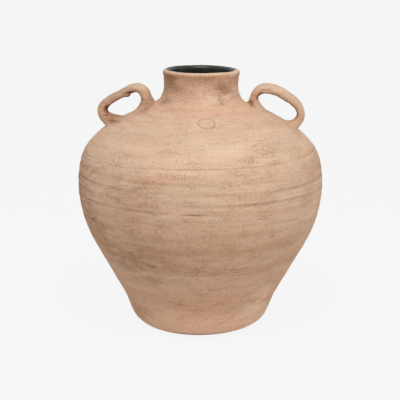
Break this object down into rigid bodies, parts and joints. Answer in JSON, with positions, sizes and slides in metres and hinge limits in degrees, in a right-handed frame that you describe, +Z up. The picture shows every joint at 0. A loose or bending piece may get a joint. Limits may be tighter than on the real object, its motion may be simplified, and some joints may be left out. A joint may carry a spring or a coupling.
{
  "type": "pithos storage jar",
  "caption": "Wide-bellied terracotta storage jar with a short neck, rolled lip, loop handles on the shoulder and a dark glazed inside.",
  "frame": {"origin": "centre of the flat underside, on the jar's axis", "axes": "+Z up along the jar's axis, X through both handles, -Y towards the front with the seal"},
  "size_m": [0.429, 0.429, 0.455],
  "materials": {
    "terracotta": "matte, sponged",
    "dark_glaze": "gloss"
  },
  "bodies": {
    "root": {"floor_disc": "terracotta", "foot_ring": "terracotta", "lower_wall": "terracotta", "belly_wall": "terracotta", "shoulder_wall": "terracotta", "neck_collar": "terracotta", "rim_lip": "terracotta", "right_handle": "terracotta", "left_handle": "terracotta", "right_upper_wad": "terracotta", "right_lower_wad": "terracotta", "left_upper_wad": "terracotta", "left_lower_wad": "terracotta", "glaze_lining": "dark_glaze"}
  },
  "joints": []
}
